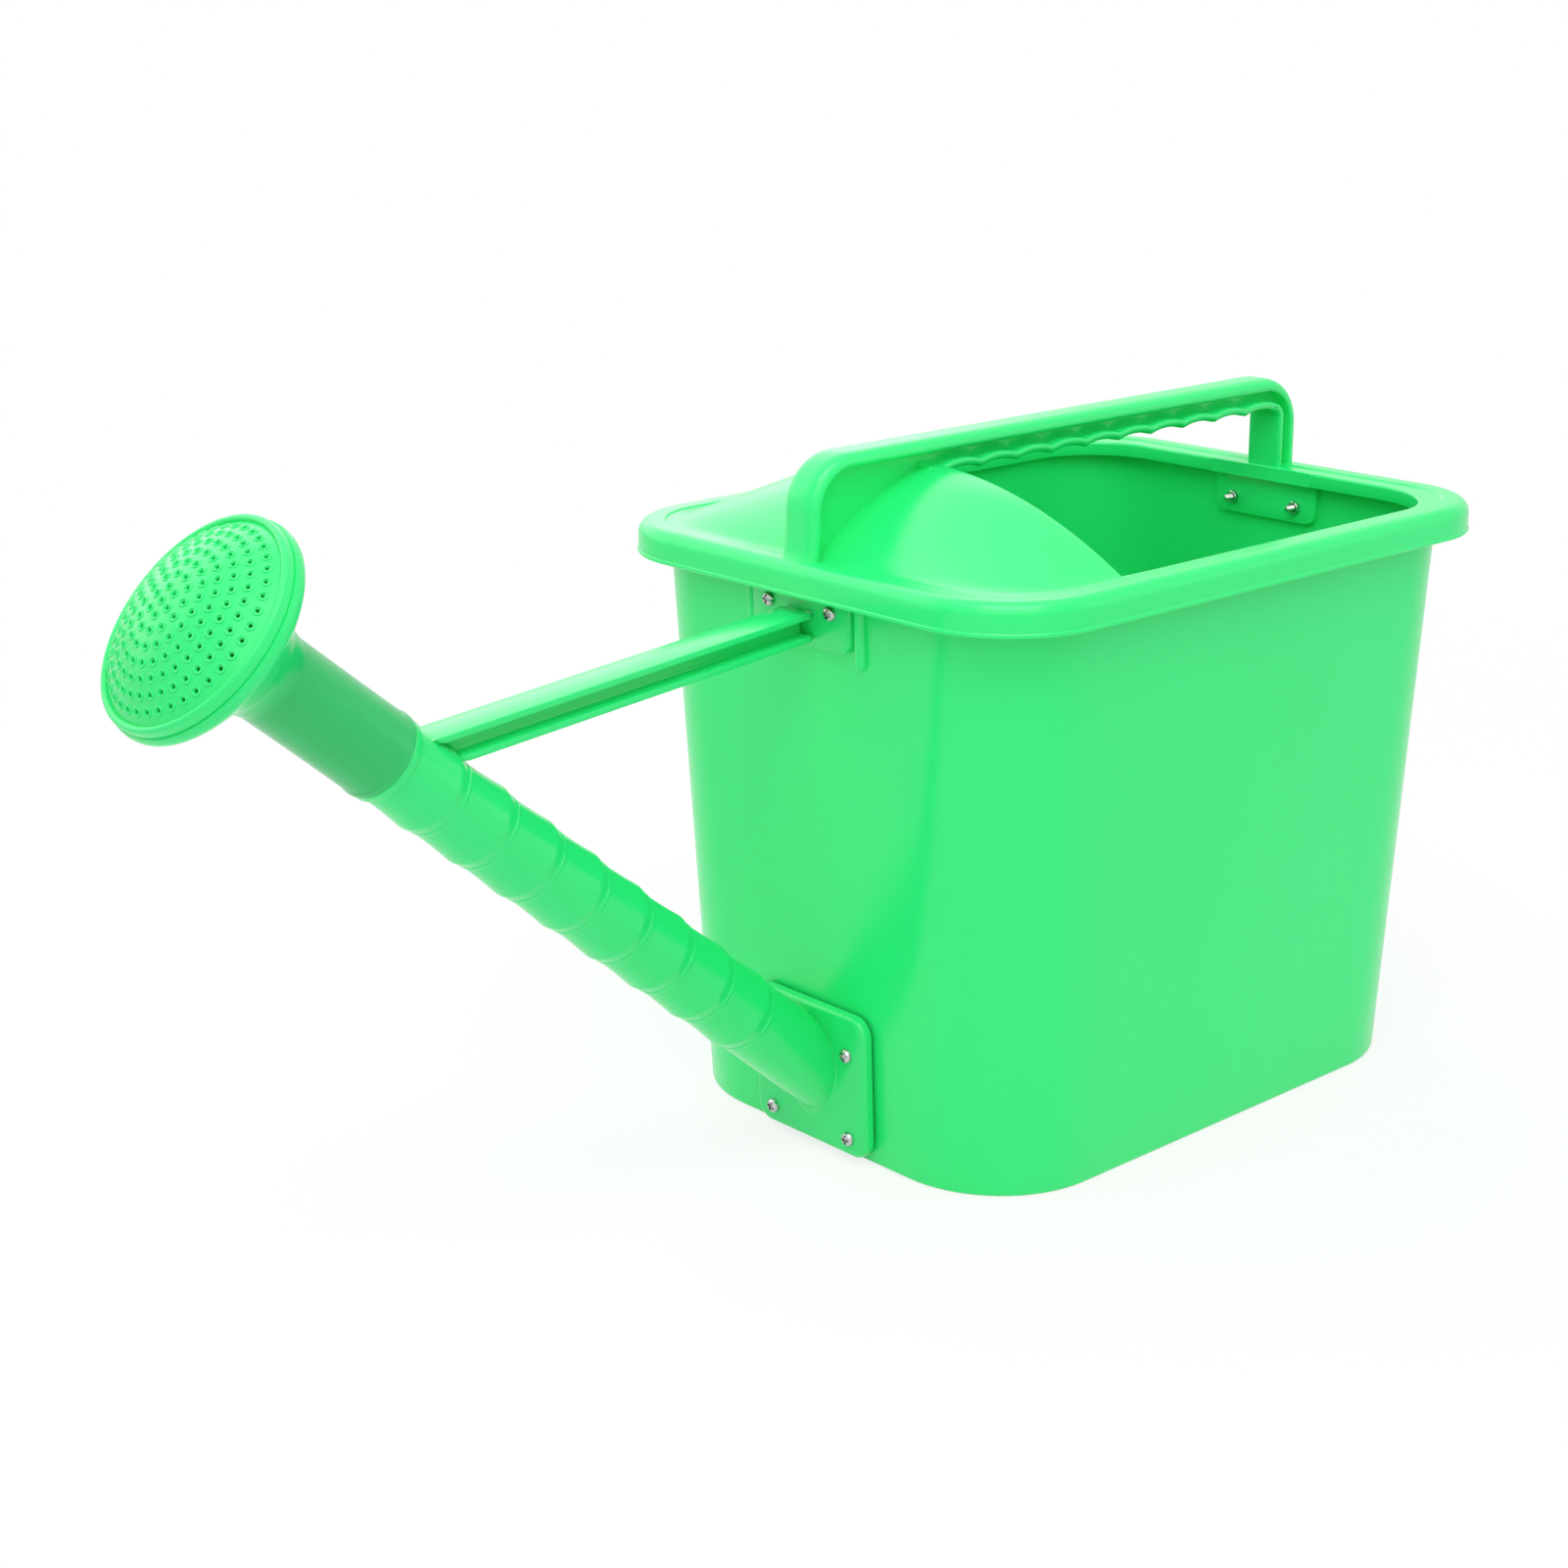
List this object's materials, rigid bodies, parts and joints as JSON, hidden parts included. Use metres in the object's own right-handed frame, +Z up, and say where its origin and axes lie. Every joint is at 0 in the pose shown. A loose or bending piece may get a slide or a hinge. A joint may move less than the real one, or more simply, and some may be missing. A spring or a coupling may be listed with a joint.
{
  "type": "watering can",
  "caption": "Green plastic garden watering can: tapered tub, bolted cover with splash guard and carrying handle, braced spout and a pull-off rose with a perforated cap.",
  "frame": {"origin": "centre of the tub's base, on the ground", "axes": "+Z up; -X the way the spout and rose point; -Y the near long side; +X the side of the handle's rear leg"},
  "size_m": [0.5911, 0.2378, 0.3],
  "materials": {
    "green_plastic": "glossy, mint green, moulded",
    "gasket_rubber": "matt",
    "zinc_steel": "bright zinc plated"
  },
  "bodies": {
    "can": {"tub": "green_plastic", "handle_cover": "green_plastic", "spout_with_brace": "green_plastic", "spout_gasket": "gasket_rubber", "spout_screw_1": "zinc_steel", "spout_screw_2": "zinc_steel", "spout_screw_3": "zinc_steel", "spout_screw_4": "zinc_steel", "spout_nut_1": "zinc_steel", "spout_nut_2": "zinc_steel", "spout_nut_3": "zinc_steel", "spout_nut_4": "zinc_steel", "brace_screw_left": "zinc_steel", "brace_screw_right": "zinc_steel", "brace_nut_left": "zinc_steel", "brace_nut_right": "zinc_steel", "rear_screw_left": "zinc_steel", "rear_screw_right": "zinc_steel", "rear_nut_left": "zinc_steel", "rear_nut_right": "zinc_steel"},
    "rose": {"rose_body": "green_plastic"},
    "rose_cap": {"rose_face": "green_plastic"}
  },
  "joints": [
    {"name": "rose_pull", "type": "slide", "parent": "can", "child": "rose", "axis": [-0.757, 0, 0.6534], "range_m": [0, 0.06]},
    {"name": "face_pull", "type": "slide", "parent": "rose", "child": "rose_cap", "axis": [-0.757, 0, 0.6534], "range_m": [0, 0.014]}
  ]
}
